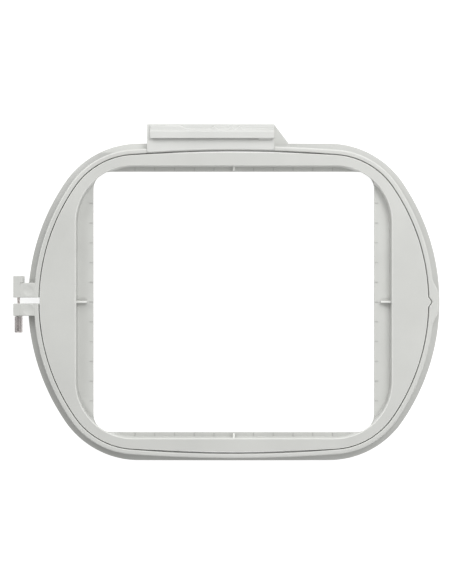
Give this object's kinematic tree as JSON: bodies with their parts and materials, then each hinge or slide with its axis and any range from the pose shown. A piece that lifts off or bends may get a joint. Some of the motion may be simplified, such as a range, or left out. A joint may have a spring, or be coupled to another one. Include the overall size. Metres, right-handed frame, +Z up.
{
  "type": "embroidery machine hoop",
  "caption": "Embroidery hoop: split outer frame tightened by a thumb screw, drop-in inner frame with a large sewing window, and a slide-in machine connector.",
  "frame": {"origin": "middle of the footprint, on the plane that both frames lie on", "axes": "+Z up through the hoop, +Y towards the machine connector, +X towards the V notch, the clamp screw is at -X"},
  "size_m": [0.4298, 0.3408, 0.018],
  "materials": {
    "frame_plastic": "fine satin moulding",
    "inner_plastic": "fine satin moulding",
    "connector_plastic": "fine satin moulding, lighter than the rings",
    "screw_steel": "knurled nickel-plated steel",
    "zinc_steel": "bright zinc plate"
  },
  "bodies": {
    "outer": {"outer_frame": "frame_plastic", "connector_body": "connector_plastic", "connector_screw_1": "zinc_steel", "connector_screw_2": "zinc_steel", "connector_screw_3": "zinc_steel", "connector_screw_4": "zinc_steel", "clamp_nut": "zinc_steel"},
    "inner": {"inner_frame": "inner_plastic"},
    "washer": {"clamp_washer": "zinc_steel"},
    "screw": {"clamp_screw": "screw_steel"}
  },
  "joints": [
    {"name": "inner_lift", "type": "slide", "parent": "outer", "child": "inner", "axis": [0, 0, 1], "range_m": [0, 0.04]},
    {"name": "screw_travel", "type": "slide", "parent": "outer", "child": "washer", "axis": [0, -1, 0], "range_m": [0, 0.00187]},
    {"name": "screw_turn", "type": "hinge", "parent": "washer", "child": "screw", "pos_m": [-0.2106, -0.00985, 0.0065], "axis": [0, -1, 0], "range_deg": [0, 1350]}
  ],
  "couplings": [
    {"joint": "screw_turn", "follows": "screw_travel", "rad_per_m": 12566}
  ]
}
